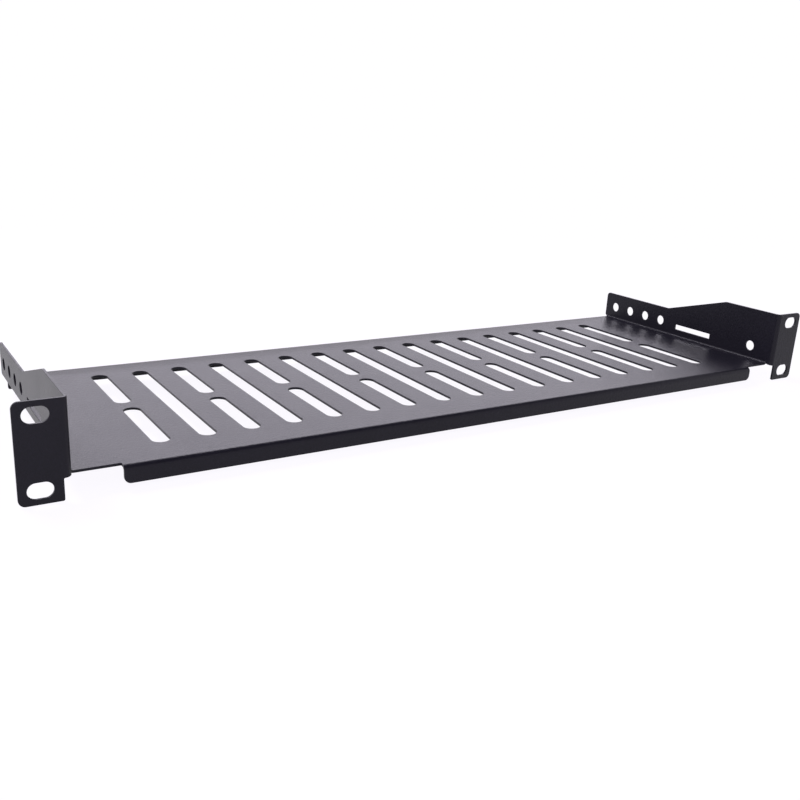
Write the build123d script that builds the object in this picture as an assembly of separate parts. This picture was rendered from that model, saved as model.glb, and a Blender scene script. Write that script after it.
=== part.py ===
from build123d import *
import os

# A vented 1U rack shelf, folded from one sheet of steel.
# Millimetres. X runs across the rack, Y runs back into it, Z is up. The origin is the centre
# of the four mounting slots, on the rear faces of the ears, where they meet the rack's rails.

# Sheet
sheet = 1.25               # thickness of the coated steel
bend_inside = 1.25         # radius on the inside of every fold

# Rack interface, after the 19-inch standard
rack_hole_span = 465.1     # between the two columns of mounting slots
rack_hole_rise = 31.75     # between the lower and the upper slots
ear_slot_length = 10.5
ear_slot_height = 7.0
slot_to_ear_side = 8.75    # from a mounting slot's centre to the ear's outer side
slot_to_ear_end = 6.0      # and to its top or bottom
slot_to_wall = 11.3        # and to the outside of the side wall
slot_to_tab = 9.15         # and to the inner side of the tab below the tray
ear_corner = 3.0
tab_corner = 0.8

# Tray
plate_below_slots = 11.0   # top of the plate, below the origin
overall_depth = 152.4      # from the front of the ears to the end of the side walls
front_edge_setback = 4.25  # plain front edge of the plate, behind the front of the ears
ear_relief_drop = 1.2      # cut-away below the fold of the ear: its edge at the tab, below the plate's top
ear_relief_rise = 0.7      # how much higher that edge is at the side wall

# Side walls
rear_wall_height = 18.4    # above the plate
shoulder_depth = 42.6      # full-height part of the wall, from the front of the ears
slope_run = 48.7           # length of the slope down to the low rear part
wall_rear_corner = 2.5
slope_corner = 4.0

# Holes in the side walls
wall_hole_diameter = 6.5
wall_hole_height = 8.4     # above the plate
wall_hole_pitch = 15.2
wall_hole_count = 4
wall_hole_to_rear = 9.6
front_hole_depth = 18.5    # from the front of the ears
wall_slot_length = 31.0
wall_slot_height = 3.5
wall_slot_lift = 6.6       # its middle, above the plate
wall_slot_to_hole = 14.5   # from its rear end to the nearest hole's centre

# Lips folded down at the front and the rear
lip_drop = 8.1             # below the plate's top
front_lip_inset = 21.75    # each end, from the outside of the side wall
front_lip_corner = 3.0
rear_lip_inset = 2.5       # the rear lip ends where the folds of the side walls start
rear_lip_corner = 1.0

# Vent slots in the plate
vent_width = 8.5
vent_pitch = 22.0
vent_count = 17            # columns, from one long pair of ends to the other
vent_front_depth = 21.15   # front ends, from the front of the ears
vent_rear_margin = 19.1    # rear ends, from the rear of the tray
vent_bridge = 8.4          # between the front and the rear slot of a divided column

# Worked-out sizes
bend_outside = bend_inside + sheet
ear_height = rack_hole_rise + 2 * slot_to_ear_end
ear_side = rack_hole_span / 2 + slot_to_ear_side
wall_outside = rack_hole_span / 2 - slot_to_wall
wall_inside = wall_outside - sheet
tab_side = rack_hole_span / 2 - slot_to_tab
ear_front = -sheet
tray_front = ear_front + front_edge_setback
tray_rear = ear_front + overall_depth
plate_top = -plate_below_slots
plate_under = plate_top - sheet
ear_top = ear_height / 2
ear_bottom = -ear_height / 2
past = sheet               # how far a cutter runs past the face that it cuts


def fold_section(first_leg, second_leg):
    """Section of a fold: outer corner at the origin, one leg on x and the other on y."""
    outer = Pos(first_leg / 2, second_leg / 2) * Rectangle(first_leg, second_leg)
    outer = fillet(outer.vertices().sort_by(lambda v: v.X + v.Y)[0], bend_outside)
    hollow_x, hollow_y = first_leg - sheet, second_leg - sheet
    hollow = Pos(sheet + hollow_x / 2, sheet + hollow_y / 2) * Rectangle(hollow_x, hollow_y)
    hollow = fillet(hollow.vertices().sort_by(lambda v: v.X + v.Y)[0], bend_inside)
    return outer - hollow


def both_sides(piece):
    """The piece with its mirror image on the other side of the rack."""
    return piece + mirror(piece, about=Plane.YZ)


def wall_outline():
    """Side view of the tray: full height at the ears, then a slope to the low rear part."""
    slope_front = ear_front + shoulder_depth
    slope_rear = slope_front + slope_run
    low_top = plate_top + rear_wall_height
    side = Plane(origin=(wall_outside, 0, 0), x_dir=(0, 1, 0), z_dir=(1, 0, 0))
    outline = make_face(Polyline(
        (tray_front, plate_under), (tray_front, ear_top), (slope_front, ear_top),
        (slope_rear, low_top), (tray_rear, low_top), (tray_rear, plate_under), close=True))
    bends = outline.vertices().filter_by(lambda v: slope_front - past < v.X < slope_rear + past)
    outline = fillet(bends, slope_corner)
    rear_top = outline.vertices().sort_by(lambda v: v.X + v.Y / overall_depth)[-1]
    outline = fillet(rear_top, wall_rear_corner)
    return extrude(side * outline, -2 * wall_outside)


def tray():
    """The plate and both side walls, up to the plain front edge."""
    corner = Plane(origin=(-wall_outside, tray_rear, plate_under), x_dir=(1, 0, 0), z_dir=(0, -1, 0))
    half = extrude(corner * fold_section(wall_outside, ear_top - plate_under), tray_rear - tray_front)
    return both_sides(half) & wall_outline()


def rear_clearance():
    """What is cut away at the rear for the rear lip: its fold, and a notch at each corner."""
    flat_half = wall_outside - bend_outside
    fold = Pos(0, tray_rear, plate_top) * Box(
        2 * flat_half, bend_outside, 2 * past, align=(Align.CENTER, Align.MAX, Align.MAX))
    fold += Pos(0, tray_rear, plate_top) * Box(
        2 * flat_half, past, 2 * past, align=(Align.CENTER, Align.MIN, Align.CENTER))
    lip_end = wall_outside - rear_lip_inset
    side = Plane(origin=(lip_end, 0, 0), x_dir=(0, 1, 0), z_dir=(1, 0, 0))
    notch = make_face(Polyline(
        (tray_rear - bend_outside - past, plate_under - past),
        (tray_rear + past, plate_under + bend_outside + past),
        (tray_rear + past, plate_under - past), close=True))
    return fold + both_sides(extrude(side * notch, rear_lip_inset + past))


def ear():
    """The right ear: the wall's front end, its fold and the flange with the tab below."""
    corner = Plane(origin=(wall_inside, ear_front, ear_bottom))
    flange = extrude(corner * fold_section(ear_side - wall_inside, front_edge_setback), ear_height)
    outer_corners = flange.edges().filter_by(Axis.Y).group_by(Axis.X)[-1]
    flange = fillet(outer_corners, ear_corner)
    front = Plane(origin=(0, ear_front - past, 0), x_dir=(1, 0, 0), z_dir=(0, -1, 0))
    edge_at_tab = plate_top - ear_relief_drop
    edge_at_wall = edge_at_tab + ear_relief_rise
    relief = make_face(Polyline(
        (tab_side, ear_bottom - past), (tab_side, edge_at_tab), (wall_inside, edge_at_wall),
        (wall_inside - past, edge_at_wall), (wall_inside - past, ear_bottom - past), close=True))
    flange -= extrude(front * relief, -(front_edge_setback + 2 * past))
    lower_edges = flange.edges().filter_by(Axis.Y).group_by(Axis.Z)[0]
    return fillet(lower_edges.sort_by(Axis.X)[0], tab_corner)


def front_lip():
    """The lip under the front edge, flush with the ears."""
    half = wall_outside - front_lip_inset
    corner = Plane(origin=(half, ear_front, plate_top), x_dir=(0, 1, 0), z_dir=(-1, 0, 0))
    lip = extrude(corner * fold_section(front_edge_setback, lip_drop), 2 * half)
    return fillet(lip.edges().filter_by(Axis.Y).group_by(Axis.Z)[0], front_lip_corner)


def rear_lip():
    """The lip under the rear edge, between the two corner notches."""
    half = wall_outside - rear_lip_inset
    corner = Plane(origin=(-half, tray_rear, plate_top), x_dir=(0, -1, 0), z_dir=(1, 0, 0))
    lip = extrude(corner * fold_section(bend_outside, lip_drop), 2 * half)
    return fillet(lip.edges().filter_by(Axis.Y).group_by(Axis.Z)[0], rear_lip_corner)


def vent_cutters():
    """Slots across the plate: even columns are divided in two, odd columns run right through."""
    front = ear_front + vent_front_depth
    rear = tray_rear - vent_rear_margin
    short = (rear - front - vent_bridge) / 2
    cutters = []
    for column in range(vent_count):
        x = (column - (vent_count - 1) / 2) * vent_pitch
        if column % 2 == 0:
            spans = [(front + short / 2, short), (rear - short / 2, short)]
        else:
            spans = [((front + rear) / 2, rear - front)]
        for middle, length in spans:
            slot = Pos(x, middle, plate_under - past) * Rot(0, 0, 90) * SlotOverall(length, vent_width)
            cutters.append(extrude(slot, sheet + 2 * past))
    return cutters


def wall_cutters():
    """Round holes and one long rectangular slot, each through both side walls."""
    side = Plane(origin=(wall_outside + past, 0, 0), x_dir=(0, 1, 0), z_dir=(1, 0, 0))
    hole_z = plate_top + wall_hole_height
    rear_holes = [tray_rear - wall_hole_to_rear - i * wall_hole_pitch for i in range(wall_hole_count)]
    shapes = [Pos(y, hole_z) * Circle(wall_hole_diameter / 2)
              for y in rear_holes + [ear_front + front_hole_depth]]
    slot_middle = min(rear_holes) - wall_slot_to_hole - wall_slot_length / 2
    shapes.append(Pos(slot_middle, plate_top + wall_slot_lift) * Rectangle(wall_slot_length, wall_slot_height))
    return [extrude(side * shape, -2 * (wall_outside + past)) for shape in shapes]


def ear_slot_cutters():
    """The four horizontal mounting slots."""
    cutters = []
    for x in (-rack_hole_span / 2, rack_hole_span / 2):
        for z in (-rack_hole_rise / 2, rack_hole_rise / 2):
            face = Plane(origin=(x, past, z), x_dir=(1, 0, 0), z_dir=(0, -1, 0))
            cutters.append(extrude(face * SlotOverall(ear_slot_length, ear_slot_height), sheet + 2 * past))
    return cutters


shelf = tray() - rear_clearance()
shelf = shelf + both_sides(ear()) + front_lip() + rear_lip()
shelf = shelf - vent_cutters() - wall_cutters() - ear_slot_cutters()

os.makedirs("parts", exist_ok=True)
export_step(shelf.solid(), "parts/shelf.step")
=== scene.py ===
import math

import bpy
from mathutils import Matrix, Vector
from mathutils.geometry import delaunay_2d_cdt


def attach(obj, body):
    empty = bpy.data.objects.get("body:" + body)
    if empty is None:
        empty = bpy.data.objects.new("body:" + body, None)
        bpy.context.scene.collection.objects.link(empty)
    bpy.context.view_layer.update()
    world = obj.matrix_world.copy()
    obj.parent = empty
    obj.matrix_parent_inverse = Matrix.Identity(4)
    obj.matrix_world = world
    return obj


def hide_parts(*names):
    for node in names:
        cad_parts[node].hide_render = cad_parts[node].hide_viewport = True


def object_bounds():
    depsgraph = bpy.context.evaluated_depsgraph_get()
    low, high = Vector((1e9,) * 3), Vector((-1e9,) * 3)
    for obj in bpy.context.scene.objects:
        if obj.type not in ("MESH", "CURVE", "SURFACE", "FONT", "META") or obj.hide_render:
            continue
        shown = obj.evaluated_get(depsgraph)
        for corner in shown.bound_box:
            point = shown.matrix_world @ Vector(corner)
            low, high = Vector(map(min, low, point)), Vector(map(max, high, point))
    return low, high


# A vented 1U rack shelf, folded from one sheet of steel and powder coated black.
# The sheet is laid out flat, in millimetres: u runs across it, v from its front to its rear, and
# w is its height above the middle of its thickness. Geometry Nodes then repeat the punched tiles
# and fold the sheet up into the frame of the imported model, in metres.

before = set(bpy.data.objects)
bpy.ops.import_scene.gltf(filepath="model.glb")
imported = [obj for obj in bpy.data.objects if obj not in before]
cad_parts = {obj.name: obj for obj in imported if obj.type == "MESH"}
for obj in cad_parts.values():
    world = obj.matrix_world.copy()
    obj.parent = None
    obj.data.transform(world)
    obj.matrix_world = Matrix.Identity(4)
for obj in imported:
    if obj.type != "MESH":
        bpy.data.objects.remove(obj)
cad_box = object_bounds()

MM = 0.001

# Sheet
SHEET = 1.25
BEND_INSIDE = 1.25
BEND_OUTSIDE = BEND_INSIDE + SHEET
BEND_RADIUS = BEND_INSIDE + SHEET / 2        # middle of the sheet
BEND_LENGTH = BEND_RADIUS * math.pi / 2
BEND_STEPS = 8

# Cut edges
RIM_RADIUS = 0.15                            # where the coat rounds a cut edge
RIM_STEPS = 2
SMALL_CORNER = 0.4
ARC_STEP = math.radians(7.5)
SAME_POINT = 0.0015                          # nearer points of a loop are one point
SAME_CORNER = 0.003                          # and so are nearer corners of two tiles
ON_FOLD = 0.0001                             # a point this near a fold line lies on it
SAME_CUT = 0.00001                           # smallest distance in the triangulation

# Ears
RACK_HOLE_SPAN = 465.1
RACK_HOLE_RISE = 31.75
EAR_SLOT_LENGTH = 10.5
EAR_SLOT_HEIGHT = 7.0
SLOT_TO_EAR_SIDE = 8.75
SLOT_TO_EAR_END = 6.0
SLOT_TO_WALL = 11.3
SLOT_TO_TAB = 9.15
EAR_CORNER = 3.0
TAB_CORNER = 0.8
EAR_FRONT = -SHEET
EAR_SIDE = RACK_HOLE_SPAN / 2 + SLOT_TO_EAR_SIDE
EAR_TOP = RACK_HOLE_RISE / 2 + SLOT_TO_EAR_END
TAB_SIDE = RACK_HOLE_SPAN / 2 - SLOT_TO_TAB

# Tray
PLATE_TOP = -11.0
OVERALL_DEPTH = 152.4
FRONT_EDGE_SETBACK = 4.25
RELIEF_DROP = 1.2                            # cut-away below the ear's fold, at the tab
RELIEF_RISE = 0.7                            # how much higher it is at the side wall
RELIEF_CORNER = 0.18
SLIT_WIDTH = 0.3                             # parts the plate's front edge from the ear's fold
SLIT_REACH = 0.5
SLIT_CORNER = 0.135
TRAY_FRONT = EAR_FRONT + FRONT_EDGE_SETBACK
TRAY_REAR = EAR_FRONT + OVERALL_DEPTH
WALL_OUTSIDE = RACK_HOLE_SPAN / 2 - SLOT_TO_WALL
RELIEF_AT_TAB = PLATE_TOP - RELIEF_DROP
RELIEF_AT_WALL = RELIEF_AT_TAB + RELIEF_RISE

# Side walls
REAR_WALL_HEIGHT = 18.4
SHOULDER_DEPTH = 42.6
SLOPE_RUN = 48.7
SLOPE_CORNER = 4.0
WALL_CORNER = 2.5
LOW_WALL_TOP = PLATE_TOP + REAR_WALL_HEIGHT
SHOULDER_END = EAR_FRONT + SHOULDER_DEPTH
SLOPE_END = SHOULDER_END + SLOPE_RUN

# Lips
LIP_DROP = 8.1
FRONT_LIP_INSET = 21.75
FRONT_LIP_CORNER = 3.0
REAR_LIP_CORNER = 1.0
FRONT_LIP_HALF = WALL_OUTSIDE - FRONT_LIP_INSET
REAR_LIP_HALF = WALL_OUTSIDE - BEND_OUTSIDE
LIP_LENGTH = LIP_DROP - BEND_OUTSIDE         # flat part of both lips
NOTCH_WALL_HEIGHT = -9.6                     # rear corner notch, at the wall's rear end
NOTCH_START = 148.3                          # and at the rear lip

# Where the folds start
PLATE_MIDDLE = PLATE_TOP - SHEET / 2
SIDE_FOLD = WALL_OUTSIDE - BEND_OUTSIDE
FRONT_FOLD = EAR_FRONT + BEND_OUTSIDE
REAR_FOLD = TRAY_REAR - BEND_OUTSIDE
WALL_START = SIDE_FOLD + BEND_LENGTH
WALL_START_HEIGHT = PLATE_MIDDLE + BEND_RADIUS
FLANGE_START = FRONT_FOLD - BEND_LENGTH
FLANGE_START_SIDE = WALL_OUTSIDE - SHEET + BEND_OUTSIDE

# Vents
VENT_WIDTH = 8.5
VENT_PITCH = 22.0
VENT_COLUMNS = 17
VENT_BRIDGE = 8.4
VENT_FRONT_DEPTH = 21.15
VENT_REAR_MARGIN = 19.1
VENT_TILE_MARGIN = 3.0
VENT_FRONT = EAR_FRONT + VENT_FRONT_DEPTH
VENT_REAR = TRAY_REAR - VENT_REAR_MARGIN
SHORT_VENT = (VENT_REAR - VENT_FRONT - VENT_BRIDGE) / 2

# Openings in the side walls
HOLE_DIAMETER = 6.5
HOLE_LIFT = 8.4
HOLE_PITCH = 15.2
HOLE_ROW = 4
HOLE_TO_REAR = 9.6
HOLE_TILE_HALF = 5.0
FRONT_HOLE_DEPTH = 18.5
WALL_SLOT_LENGTH = 31.0
WALL_SLOT_HEIGHT = 3.5
WALL_SLOT_LIFT = 6.6
WALL_SLOT_TO_HOLE = 14.5
FIRST_HOLE = TRAY_REAR - HOLE_TO_REAR - (HOLE_ROW - 1) * HOLE_PITCH
FRONT_HOLE = EAR_FRONT + FRONT_HOLE_DEPTH
WALL_SLOT_MIDDLE = FIRST_HOLE - WALL_SLOT_TO_HOLE - WALL_SLOT_LENGTH / 2

# Powder coat, its noise scales in cells per metre
COAT_DARK = (0.004, 0.0036, 0.0075, 1)
COAT_LIGHT = (0.008, 0.0071, 0.0125, 1)
COAT_ROUGHNESS = 0.28
COAT_ROUGHNESS_CHANGE = 0.08
COAT_IOR = 1.27
CLOUD_SCALE = 38.0
CLOUD_DETAIL = 3.0
PEEL_SCALE = 700.0
PEEL_DETAIL = 3.0
GRAIN_SCALE = 2600.0
GRAIN_DETAIL = 2.0
PEEL_SHARE = 0.7
COAT_RELIEF = 0.0002                         # metres

# Studio, in metres
FLOOR_HALF = 9.0
FLOOR_PAPER = (0.9, 0.9, 0.9, 1)
FLOOR_GLOW = 0.93                            # beside the shelf; all of the floor's light further out
FLOOR_COLOUR = (1.02, 1.0, 1.05, 1)
FLOOR_SHADOW_REACH = 0.8
CEILING_START = 0.72                         # sine of the height angle
CEILING_EDGE = 5.0
WALL_COLOUR = (1.04, 1.0, 1.09, 1)
CEILING_COLOUR = (0.15, 0.145, 0.16, 1)
LAMP_COLOUR = (1.0, 0.955, 1.09)
LAMP_AIM = (0, 0.07, 0)

# Camera, where the photograph was taken from
CAMERA_PLACE = (-0.294167, -0.354946, 0.135946)
CAMERA_TURN = (72.1945, -2.9387, -31.9184)
CAMERA_LENS = 41.010
SENSOR_WIDTH = 36.0
NEAREST_SEEN = 0.01
FURTHEST_SEEN = 100.0


class Wire:
    """A node's output. Python's operators on it add Math nodes to its tree."""

    def __init__(self, graph, socket):
        self.graph = graph
        self.socket = socket

    def math(self, operation, *operands):
        return self.graph.add("ShaderNodeMath", {"operation": operation}, operands)

    def __add__(self, other):
        return self.math("ADD", self, other)

    def __radd__(self, other):
        return self.math("ADD", other, self)

    def __sub__(self, other):
        return self.math("SUBTRACT", self, other)

    def __rsub__(self, other):
        return self.math("SUBTRACT", other, self)

    def __mul__(self, other):
        return self.math("MULTIPLY", self, other)

    def __rmul__(self, other):
        return self.math("MULTIPLY", other, self)

    def __truediv__(self, other):
        return self.math("DIVIDE", self, other)

    def __rtruediv__(self, other):
        return self.math("DIVIDE", other, self)

    def __mod__(self, other):
        return self.math("MODULO", self, other)

    def __rmod__(self, other):
        return self.math("MODULO", other, self)

    def __gt__(self, other):
        return self.math("GREATER_THAN", self, other)

    def __lt__(self, other):
        return self.math("LESS_THAN", self, other)

    def __abs__(self):
        return self.math("ABSOLUTE", self)

    def sign(self):
        return self.math("SIGN", self)

    def sin(self):
        return self.math("SINE", self)

    def cos(self):
        return self.math("COSINE", self)

    def at_least(self, other):
        return self.math("MAXIMUM", self, other)

    def at_most(self, other):
        return self.math("MINIMUM", self, other)

    def out(self, name):
        """Another output of the same node."""
        return Wire(self.graph, self.socket.node.outputs[name])

    def xyz(self):
        """The three parts of a vector."""
        parts = self.graph.add("ShaderNodeSeparateXYZ", {}, [self])
        return parts, parts.out("Y"), parts.out("Z")


class Graph:
    """A node tree under construction."""

    def __init__(self, tree):
        self.tree = tree

    def add(self, kind, settings, values, output=0):
        """Adds a node: first its settings, then the numbers or wires of its sockets."""
        node = self.tree.nodes.new(kind)
        for name, setting in settings.items():
            setattr(node, name, setting)
        self.fill(node, values)
        return Wire(self, node.outputs[output]) if node.outputs else None

    def fill(self, node, values):
        """Gives a node's sockets their numbers or wires, by name or in their order."""
        pairs = values.items() if isinstance(values, dict) else enumerate(values)
        for key, value in pairs:
            for item in value if isinstance(value, list) else [value]:
                if isinstance(item, Wire):
                    self.tree.links.new(item.socket, node.inputs[key])
                else:
                    node.inputs[key].default_value = item

    def vector(self, x, y, z):
        return self.add("ShaderNodeCombineXYZ", {}, [x, y, z])

    def noise(self, place, scale, detail):
        return self.add("ShaderNodeTexNoise", {}, {"Vector": place, "Scale": scale, "Detail": detail})

    def blend(self, share, colour, other_colour):
        """A colour between two colours. On a Mix node those are sockets 6 and 7, and output 2."""
        return self.add("ShaderNodeMix", {"data_type": "RGBA"}, {0: share, 6: colour, 7: other_colour}, 2)


def node_group(name, inputs):
    """A Geometry Nodes tree with named inputs: the graph and a wire for each input."""
    tree = bpy.data.node_groups.new(name, "GeometryNodeTree")
    tree.interface.new_socket("Geometry", in_out="OUTPUT", socket_type="NodeSocketGeometry")
    for label, kind in inputs.items():
        tree.interface.new_socket(label, in_out="INPUT", socket_type="NodeSocket" + kind)
    graph = Graph(tree)
    start = graph.add("NodeGroupInput", {}, {})
    return graph, {label: start.out(label) for label in inputs}


# Flat layout

def rounded(corners):
    """Closed loop through corners (u, v, radius), its material on the left: u, v and the outward normal."""
    loop = []
    for index, (u, v, radius) in enumerate(corners):
        corner = Vector((u, v))
        before = Vector(corners[index - 1][:2])
        after = Vector(corners[(index + 1) % len(corners)][:2])
        heading = (corner - before).normalized()
        turn = heading.angle_signed((after - corner).normalized()) * -1
        start = corner - heading * radius * math.tan(abs(turn) / 2)
        outward = Vector((heading.y, -heading.x))
        side = math.copysign(radius, turn)
        centre = start - outward * side
        steps = max(2, math.ceil(abs(turn) / ARC_STEP))
        for step in range(steps + 1):
            normal = Matrix.Rotation(turn * step / steps, 2) @ outward
            point = centre + normal * side
            if not loop or (point - loop[-1][0]).length > SAME_POINT:
                loop.append((point, normal))
    if (loop[0][0] - loop[-1][0]).length < SAME_POINT:
        loop.pop()
    return loop


def opening(u, v, across, along, radius):
    """A rounded opening round (u, v)."""
    a, b = across / 2, along / 2
    return rounded([(u - a, v - b, radius), (u - a, v + b, radius),
                    (u + a, v + b, radius), (u + a, v - b, radius)])


def rectangle(left, right, front, rear, columns=1):
    """Plain rectangle, its front and rear sides divided into columns."""
    across = [left + (right - left) * i / columns for i in range(columns + 1)]
    return [Vector((u, front)) for u in across] + [Vector((u, rear)) for u in reversed(across)]


def on_wall(height):
    """Where a height of the finished side wall lies in the flat layout."""
    return WALL_START + height - WALL_START_HEIGHT


def on_flange(side):
    """Where a distance across the finished ear lies in the flat layout."""
    return FLANGE_START - (side - FLANGE_START_SIDE)


def split_at_folds(loop, folds):
    """Adds a point to the loop wherever the coat's flat face ends on a fold line."""
    made = []
    for index, (point, normal) in enumerate(loop):
        made.append((point, normal))
        after, after_normal = loop[(index + 1) % len(loop)]
        a = point - normal * RIM_RADIUS
        b = after - after_normal * RIM_RADIUS
        cuts = []
        for axis, place, inside in folds:
            if (a[axis] - place) * (b[axis] - place) < 0:
                share = (place - a[axis]) / (b[axis] - a[axis])
                cut = a.lerp(b, share)
                if inside(cut):
                    cuts.append((share, cut, normal.lerp(after_normal, share).normalized()))
        made += [(cut + n * RIM_RADIUS, n) for share, cut, n in sorted(cuts, key=lambda c: c[0])]
    return made


def fold_lines():
    """The lines across the flat sheet that become the facets of its bends."""
    lines = []
    for step in range(BEND_STEPS + 1):
        run = BEND_LENGTH * step / BEND_STEPS
        for side in (-1, 1):
            lines.append((0, side * (SIDE_FOLD + run), lambda p: p.y > TRAY_FRONT))
        lines.append((1, FRONT_FOLD - run, lambda p: True))
        lines.append((1, REAR_FOLD + run, lambda p: abs(p.x) < REAR_LIP_HALF))
    return lines


def is_inside(point, loops):
    """True where the point lies on the sheet: inside the outline and outside every opening."""
    crossings = 0
    for loop in loops:
        for a, b in zip(loop, loop[1:] + loop[:1]):
            if (a.y > point.y) != (b.y > point.y):
                crossings += point.x < a.x + (point.y - a.y) / (b.y - a.y) * (b.x - a.x)
    return crossings % 2 == 1


def triangulated(loops, folds):
    """The sheet's flat face: its points, its triangles and the point that each loop point became."""
    points = []
    edges = []
    for loop in loops:
        first = len(points)
        points += loop
        edges += [(first + i, first + (i + 1) % len(loop)) for i in range(len(loop))]
    for axis, place, inside in folds:
        ends = [i for i, p in enumerate(points) if abs(p[axis] - place) < ON_FOLD and inside(p)]
        ends.sort(key=lambda i: points[i][1 - axis])
        edges += list(zip(ends[::2], ends[1::2]))
    flat, _, faces, sources, _, _ = delaunay_2d_cdt(points, edges, [], 0, SAME_CUT)
    place_of = {old: new for new, olds in enumerate(sources) for old in olds}
    kept = []
    for face in faces:
        a, b, c = (flat[i] for i in face)
        if is_inside((a + b + c) / 3, loops):
            kept.append(list(face) if (b - a).cross(c - a) > 0 else list(reversed(face)))
    return flat, kept, place_of


def rim_profile():
    """Section of a cut edge between its flat faces: how far out, how high and the normal's rise."""
    up = SHEET / 2
    quarter = [math.pi / 2 * i / RIM_STEPS for i in range(RIM_STEPS + 1)]
    upper = [(math.sin(t), up - RIM_RADIUS + RIM_RADIUS * math.cos(t), math.cos(t)) for t in quarter]
    lower = [(out, -height, -lean) for out, height, lean in reversed(upper)]
    return (upper + lower)[1:-1]


def flat_sheet(name, cut_loops, plain_loops, folds=()):
    """Mesh of a flat piece of sheet. Cut loops get a rim; plain loops are left open to be joined."""
    cut_loops = [split_at_folds(loop, folds) for loop in cut_loops]
    flat_loops = [[p - n * RIM_RADIUS for p, n in loop] for loop in cut_loops] + plain_loops
    flat, triangles, place_of = triangulated(flat_loops, folds)
    up = SHEET / 2
    verts = [(p.x, p.y, up) for p in flat] + [(p.x, p.y, -up) for p in flat]
    normals = [(0, 0, 1)] * len(flat) + [(0, 0, -1)] * len(flat)
    faces = []
    for triangle in triangles:
        faces.append(triangle)
        faces.append([i + len(flat) for i in reversed(triangle)])

    profile = rim_profile()
    first = 0
    for loop in cut_loops:
        count = len(loop)
        rings = [[place_of[first + i] for i in range(count)]]
        for out, height, lean in profile:
            rings.append(list(range(len(verts), len(verts) + count)))
            for point, normal in loop:
                p = point + normal * RIM_RADIUS * (out - 1)
                verts.append((p.x, p.y, height))
                normals.append((normal.x * out, normal.y * out, lean))
        rings.append([i + len(flat) for i in rings[0]])
        for upper, lower in zip(rings, rings[1:]):
            for i in range(count):
                j = (i + 1) % count
                faces.append([upper[i], lower[i], lower[j], upper[j]])
        first += count

    mesh = bpy.data.meshes.new(name)
    mesh.from_pydata([Vector(v) * MM for v in verts], [], faces)
    outward = mesh.attributes.new("outward", "FLOAT_VECTOR", "POINT")
    outward.data.foreach_set("vector", [part for normal in normals for part in normal])
    piece = bpy.data.objects.new(name, mesh)
    bpy.context.scene.collection.objects.link(piece)
    return piece


def outline():
    """The cut outline of the flat sheet: the corners of its right half, and their mirror image."""
    wall_top = on_wall(EAR_TOP)
    ear_foot = on_wall(-EAR_TOP)
    low_top = on_wall(LOW_WALL_TOP)
    slit_end = WALL_START + SLIT_REACH
    slit_front = TRAY_FRONT - SLIT_WIDTH
    right = [
        (FRONT_LIP_HALF, FLANGE_START - LIP_LENGTH, FRONT_LIP_CORNER),
        (FRONT_LIP_HALF, TRAY_FRONT, SMALL_CORNER),
        (slit_end, TRAY_FRONT, SLIT_CORNER),
        (slit_end, slit_front, SLIT_CORNER),
        (on_wall(RELIEF_AT_WALL), slit_front, RELIEF_CORNER),
        (on_wall(RELIEF_AT_TAB), on_flange(TAB_SIDE), SMALL_CORNER),
        (ear_foot, on_flange(TAB_SIDE), TAB_CORNER),
        (ear_foot, on_flange(EAR_SIDE), EAR_CORNER),
        (wall_top, on_flange(EAR_SIDE), EAR_CORNER),
        (wall_top, SHOULDER_END, SLOPE_CORNER),
        (low_top, SLOPE_END, SLOPE_CORNER),
        (low_top, TRAY_REAR, WALL_CORNER),
        (on_wall(NOTCH_WALL_HEIGHT), TRAY_REAR, SMALL_CORNER),
        (REAR_LIP_HALF, NOTCH_START, SMALL_CORNER),
        (REAR_LIP_HALF, REAR_FOLD + BEND_LENGTH + LIP_LENGTH, REAR_LIP_CORNER),
    ]
    return rounded(right + [(-u, v, radius) for u, v, radius in reversed(right)])


def blank():
    """The flat sheet without the tiles of the vents and of the rows of round holes."""
    cuts = [outline()]
    vent_half = VENT_PITCH * VENT_COLUMNS / 2
    windows = [rectangle(-vent_half, vent_half, VENT_FRONT - VENT_TILE_MARGIN,
                         VENT_REAR + VENT_TILE_MARGIN, VENT_COLUMNS)]
    row_front = FIRST_HOLE - HOLE_PITCH / 2
    for side in (-1, 1):
        hole_u = side * on_wall(PLATE_TOP + HOLE_LIFT)
        slot_u = side * on_wall(PLATE_TOP + WALL_SLOT_LIFT)
        cuts.append(opening(hole_u, FRONT_HOLE, HOLE_DIAMETER, HOLE_DIAMETER, HOLE_DIAMETER / 2))
        cuts.append(opening(slot_u, WALL_SLOT_MIDDLE, WALL_SLOT_HEIGHT, WALL_SLOT_LENGTH, SMALL_CORNER))
        for rise in (-RACK_HOLE_RISE / 2, RACK_HOLE_RISE / 2):
            cuts.append(opening(side * on_wall(rise), on_flange(RACK_HOLE_SPAN / 2),
                                EAR_SLOT_HEIGHT, EAR_SLOT_LENGTH, EAR_SLOT_HEIGHT / 2))
        left, right = hole_u - HOLE_TILE_HALF, hole_u + HOLE_TILE_HALF
        sides = [row_front + HOLE_PITCH * i for i in range(HOLE_ROW + 1)]
        windows.append([Vector((right, v)) for v in sides] + [Vector((left, v)) for v in reversed(sides)])
    return flat_sheet("blank", cuts, windows, fold_lines())


def vent_tile(name, spans):
    """One column of the vent pattern, round u = 0, with a slot on each span from front to rear."""
    cuts = [opening(0, (front + rear) / 2, VENT_WIDTH, rear - front, VENT_WIDTH / 2)
            for front, rear in spans]
    half = VENT_PITCH / 2
    edge = rectangle(-half, half, VENT_FRONT - VENT_TILE_MARGIN, VENT_REAR + VENT_TILE_MARGIN)
    return flat_sheet(name, cuts, [edge])


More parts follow.
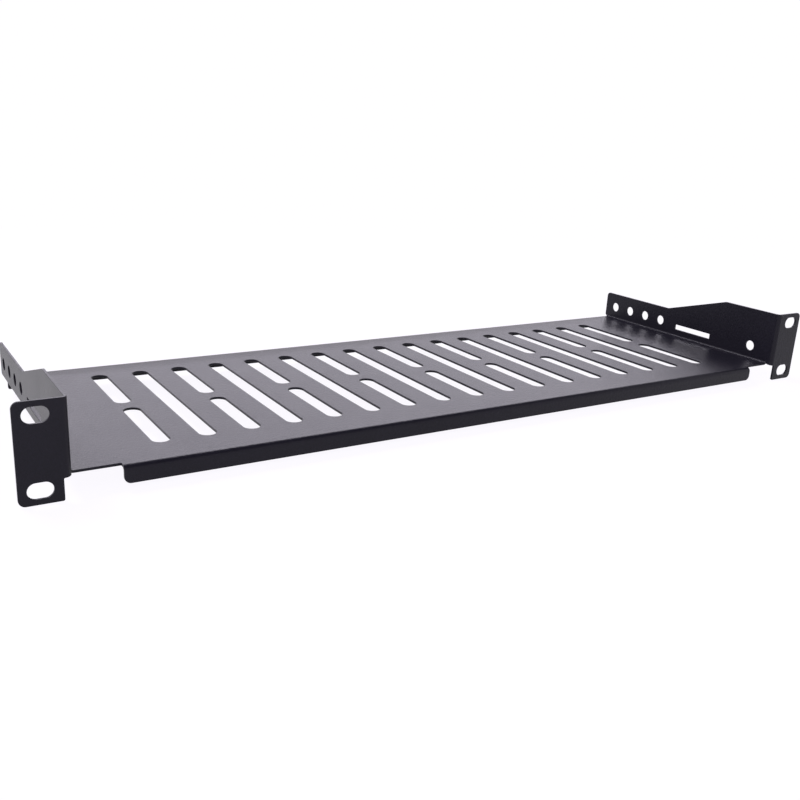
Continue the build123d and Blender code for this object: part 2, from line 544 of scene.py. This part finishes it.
def hole_tile():
    """One pitch of the row of round holes in a side wall."""
    half = HOLE_PITCH / 2
    cut = opening(0, 0, HOLE_DIAMETER, HOLE_DIAMETER, HOLE_DIAMETER / 2)
    return flat_sheet("hole_tile", [cut], [rectangle(-HOLE_TILE_HALF, HOLE_TILE_HALF, -half, half)])


# Geometry Nodes

def tile_row():
    """Two tiles in turn along a straight row."""
    graph, given = node_group("tile_row", {
        "Even Tile": "Geometry", "Odd Tile": "Geometry", "Count": "Int", "Start": "Vector",
        "Pitch": "Vector"})
    row = graph.add("GeometryNodeMeshLine", {"mode": "OFFSET"},
                    {"Count": given["Count"], "Start Location": given["Start"], "Offset": given["Pitch"]})
    odd = graph.add("GeometryNodeInputIndex", {}, {}) % 2
    even_row = graph.add("GeometryNodeInstanceOnPoints", {},
                         {"Points": row, "Selection": 1 - odd, "Instance": given["Even Tile"]})
    odd_row = graph.add("GeometryNodeInstanceOnPoints", {},
                        {"Points": row, "Selection": odd, "Instance": given["Odd Tile"]})
    both = graph.add("GeometryNodeJoinGeometry", {}, [[even_row, odd_row]])
    tiles = graph.add("GeometryNodeRealizeInstances", {}, [both])
    graph.add("NodeGroupOutput", {}, [tiles])
    return graph.tree


def quarter_fold(place, height, lean, rise, start, radius, way, chosen=1, turned=None):
    """Folds the sheet past start up (way 1) or down (way -1): new place, height and normal.

    Lean and rise are the normal's parts along place and height. Where chosen is 0 the sheet stays
    as it is. Where turned is 1 the sheet before start turns with the rest, as one flat piece."""
    past = (place - start) * chosen
    quarter = math.pi / 2
    angle = (past / radius).at_least(0).at_most(quarter)
    run = past - radius * quarter
    rest = run.at_least(0)
    reach = place - past.at_least(0)
    if turned is not None:
        angle = angle.at_least(quarter * turned)
        rest = rest + run.at_most(0) * turned
        reach = reach - past.at_most(0) * turned
    to_centre = radius - height * way
    new_place = reach + to_centre * angle.sin()
    new_height = (radius - to_centre * angle.cos() + rest) * way
    new_lean = lean * angle.cos() - rise * angle.sin() * way
    new_rise = rise * angle.cos() + lean * angle.sin() * way
    return new_place, new_height, new_lean, new_rise


def folding():
    """The tree that fills the blank with its tiles and folds it up."""
    graph, given = node_group("folded_shelf", {
        "Blank": "Geometry", "Divided Vent": "Object", "Long Vent": "Object", "Hole Tile": "Object",
        "Vent Columns": "Int", "Vent Pitch": "Float", "Row Holes": "Int", "Hole Pitch": "Float",
        "Hole Side": "Float", "First Hole": "Float", "Bend Radius": "Float", "Side Fold": "Float",
        "Front Fold": "Float", "Rear Fold": "Float", "Rear Lip Half": "Float", "Ear Part": "Float",
        "Tray Front": "Float", "Plate Height": "Float", "Same Corner": "Float", "Material": "Material"})
    tile = {name: graph.add("GeometryNodeObjectInfo", {}, {"Object": given[name]}, "Geometry")
            for name in ("Divided Vent", "Long Vent", "Hole Tile")}
    rows = tile_row()
    parts = [given["Blank"]]
    first_vent = (given["Vent Columns"] - 1) * given["Vent Pitch"] * -0.5
    parts.append(graph.add("GeometryNodeGroup", {"node_tree": rows}, {
        "Even Tile": tile["Divided Vent"], "Odd Tile": tile["Long Vent"], "Count": given["Vent Columns"],
        "Start": graph.vector(first_vent, 0, 0), "Pitch": graph.vector(given["Vent Pitch"], 0, 0)}))
    for side in (-1, 1):
        parts.append(graph.add("GeometryNodeGroup", {"node_tree": rows}, {
            "Even Tile": tile["Hole Tile"], "Odd Tile": tile["Hole Tile"], "Count": given["Row Holes"],
            "Start": graph.vector(given["Hole Side"] * side, given["First Hole"], 0),
            "Pitch": graph.vector(0, given["Hole Pitch"], 0)}))
    joined = graph.add("GeometryNodeJoinGeometry", {}, [parts])
    sheet = graph.add("GeometryNodeMergeByDistance", {},
                      {"Geometry": joined, "Distance": given["Same Corner"]})

    u, v, w = graph.add("GeometryNodeInputPosition", {}, {}).xyz()
    outward = graph.add("GeometryNodeInputNamedAttribute", {"data_type": "FLOAT_VECTOR"}, ["outward"])
    nu, nv, nw = outward.xyz()
    radius = given["Bend Radius"]
    across = abs(u)
    side = u.sign()
    on_ear = (v < given["Tray Front"]) * (across > given["Ear Part"])
    on_lip = across < given["Rear Lip Half"]

    ahead, height, lean, rise = quarter_fold(v * -1, w, nv * -1, nw, given["Front Fold"] * -1, radius, -1)
    back, height, lean, rise = quarter_fold(
        ahead * -1, height, lean * -1, rise, given["Rear Fold"], radius, -1, on_lip)
    x, z, nx, nz = quarter_fold(
        across, height, nu * side, rise, given["Side Fold"], radius, 1, turned=on_ear)
    folded_normal = graph.vector(nx * side, lean, nz)
    kept = graph.add("GeometryNodeStoreNamedAttribute", {"data_type": "FLOAT_VECTOR"},
                     {"Geometry": sheet, "Name": "outward", "Value": folded_normal})
    place = graph.vector(x * side, back, z + given["Plate Height"])
    folded = graph.add("GeometryNodeSetPosition", {}, {"Geometry": kept, "Position": place})
    smooth = graph.add("GeometryNodeSetShadeSmooth", {}, {"Geometry": folded})
    real = graph.add("GeometryNodeRealizeInstances", {}, [smooth])
    done = graph.add("GeometryNodeSetMaterial", {}, {"Geometry": real, "Material": given["Material"]})
    graph.add("NodeGroupOutput", {}, [done])
    return graph.tree


def run_nodes(piece, tree, inputs):
    """Runs the tree on the piece with its named inputs, and leaves the result as a plain mesh."""
    modifier = piece.modifiers.new(tree.name, "NODES")
    modifier.node_group = tree
    for item in tree.interface.items_tree:
        if item.item_type == "SOCKET" and item.in_out == "INPUT" and item.name in inputs:
            modifier[item.identifier] = inputs[item.name]
    graph = bpy.context.evaluated_depsgraph_get()
    mesh = bpy.data.meshes.new_from_object(piece.evaluated_get(graph))
    piece.modifiers.remove(modifier)
    piece.data = mesh


def use_stored_normals(piece):
    """Shades the mesh with the normals that were folded with it."""
    outward = piece.data.attributes["outward"]
    piece.data.normals_split_custom_set_from_vertices([tuple(row.vector) for row in outward.data])
    piece.data.attributes.remove(piece.data.attributes["outward"])


# Finish

def powder_coat():
    """Satin black powder coat: a fine orange peel with small changes of gloss."""
    material = bpy.data.materials.new("black_powder_coat")
    material.use_nodes = True
    graph = Graph(material.node_tree)
    place = graph.add("ShaderNodeTexCoord", {}, {}, "Object")
    cloud = graph.noise(place, CLOUD_SCALE, CLOUD_DETAIL)
    peel = graph.noise(place, PEEL_SCALE, PEEL_DETAIL)
    grain = graph.noise(place, GRAIN_SCALE, GRAIN_DETAIL)
    relief = peel * PEEL_SHARE + grain * (1 - PEEL_SHARE)
    bump = graph.add("ShaderNodeBump", {}, {"Strength": 1.0, "Distance": COAT_RELIEF, "Height": relief})
    graph.fill(material.node_tree.nodes["Principled BSDF"], {
        "Base Color": graph.blend(cloud, COAT_DARK, COAT_LIGHT),
        "Roughness": COAT_ROUGHNESS + cloud * COAT_ROUGHNESS_CHANGE,
        "IOR": COAT_IOR,
        "Normal": bump})
    return material


def studio_floor():
    """White paper: its own glow grows away from the shelf, so that only the shelf's shadow shows."""
    material = bpy.data.materials.new("studio_floor")
    material.use_nodes = True
    material.node_tree.nodes.clear()
    graph = Graph(material.node_tree)
    seen = graph.add("ShaderNodeLightPath", {}, {}, "Is Camera Ray")
    seen = seen.at_least(seen.out("Is Glossy Ray")).at_least(seen.out("Is Transmission Ray"))
    x, y, _ = graph.add("ShaderNodeTexCoord", {}, {}, "Object").xyz()
    far = (x * x + y * y) * (1 / FLOOR_SHADOW_REACH ** 2)
    share = (FLOOR_GLOW + far * (1 - FLOOR_GLOW)).at_most(1)
    paper = graph.add("ShaderNodeBsdfDiffuse", {}, {"Color": FLOOR_PAPER})
    glow = graph.add("ShaderNodeEmission", {}, {"Color": FLOOR_COLOUR, "Strength": 1.0})
    mixed = graph.add("ShaderNodeMixShader", {}, [seen * share, paper, glow])
    graph.add("ShaderNodeOutputMaterial", {}, [mixed])
    return material


def studio_world():
    """White walls all round the shelf, up to a dark ceiling."""
    world = bpy.data.worlds.new("studio")
    bpy.context.scene.world = world
    world.use_nodes = True
    world.node_tree.nodes.clear()
    graph = Graph(world.node_tree)
    z = graph.add("ShaderNodeTexCoord", {}, {}, "Generated").xyz()[2]
    wall = ((CEILING_START - z) * CEILING_EDGE).at_least(0).at_most(1)
    light = graph.blend(wall, CEILING_COLOUR, WALL_COLOUR)
    back = graph.add("ShaderNodeBackground", {}, {"Color": light, "Strength": 1.0})
    graph.add("ShaderNodeOutputWorld", {}, [back])


def soft_box(name, place, width, height, power):
    """A rectangular area lamp that faces the shelf, out of the camera's sight. Metres and watts."""
    data = bpy.data.lights.new(name, "AREA")
    data.shape = "RECTANGLE"
    data.size = width
    data.size_y = height
    data.energy = power
    data.color = LAMP_COLOUR
    lamp = bpy.data.objects.new(name, data)
    lamp.visible_camera = False
    lamp.location = place
    lamp.rotation_euler = (Vector(LAMP_AIM) - Vector(place)).to_track_quat("-Z", "Y").to_euler()
    bpy.context.scene.collection.objects.link(lamp)


def photo_camera():
    """The camera, and colours without a film look."""
    lens = bpy.data.cameras.new("camera")
    lens.lens = CAMERA_LENS
    lens.sensor_width = SENSOR_WIDTH
    lens.clip_start = NEAREST_SEEN
    lens.clip_end = FURTHEST_SEEN
    camera = bpy.data.objects.new("camera", lens)
    camera.location = CAMERA_PLACE
    camera.rotation_euler = [math.radians(angle) for angle in CAMERA_TURN]
    bpy.context.scene.collection.objects.link(camera)
    bpy.context.scene.camera = camera
    bpy.context.scene.view_settings.view_transform = "Standard"


# Shelf
shelf = blank()
divided_vent = vent_tile("divided_vent", [
    (VENT_FRONT, VENT_FRONT + SHORT_VENT), (VENT_REAR - SHORT_VENT, VENT_REAR)])
long_vent = vent_tile("long_vent", [(VENT_FRONT, VENT_REAR)])
round_hole = hole_tile()
# In front of the tray, the sheet further out than this is an ear
ear_part = (FRONT_LIP_HALF + on_wall(-EAR_TOP)) / 2
run_nodes(shelf, folding(), {
    "Divided Vent": divided_vent, "Long Vent": long_vent, "Hole Tile": round_hole,
    "Vent Columns": VENT_COLUMNS, "Vent Pitch": VENT_PITCH * MM,
    "Row Holes": HOLE_ROW, "Hole Pitch": HOLE_PITCH * MM,
    "Hole Side": on_wall(PLATE_TOP + HOLE_LIFT) * MM, "First Hole": FIRST_HOLE * MM,
    "Bend Radius": BEND_RADIUS * MM, "Side Fold": SIDE_FOLD * MM, "Front Fold": FRONT_FOLD * MM,
    "Rear Fold": REAR_FOLD * MM, "Rear Lip Half": (REAR_LIP_HALF + SLIT_WIDTH / 2) * MM,
    "Ear Part": ear_part * MM, "Tray Front": (TRAY_FRONT - SLIT_WIDTH / 2) * MM,
    "Plate Height": PLATE_MIDDLE * MM, "Same Corner": SAME_CORNER * MM, "Material": powder_coat()})
for tile in (divided_vent, long_vent, round_hole):
    bpy.data.objects.remove(tile)
shelf.name = "folded_shelf"
use_stored_normals(shelf)
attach(shelf, "root")
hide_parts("shelf")

# Studio
floor_mesh = bpy.data.meshes.new("floor")
floor_corners = [Vector((x, y, 0)) for x, y in ((-1, -1), (1, -1), (1, 1), (-1, 1))]
floor_height = Vector((0, 0, cad_box[0].z))
floor_mesh.from_pydata([c * FLOOR_HALF + floor_height for c in floor_corners], [], [(0, 1, 2, 3)])
floor_mesh.materials.append(studio_floor())
floor = bpy.data.objects.new("floor", floor_mesh)
bpy.context.scene.collection.objects.link(floor)
studio_world()
soft_box("key_light", (-0.6, 0.9, 1.4), width=0.5, height=0.5, power=22)
soft_box("rear_light", (0.95, 1.95, 1.45), width=2.4, height=1.3, power=36)
soft_box("fill_light", (-0.9, -0.9, 1.3), width=1.2, height=1.2, power=8)
photo_camera()
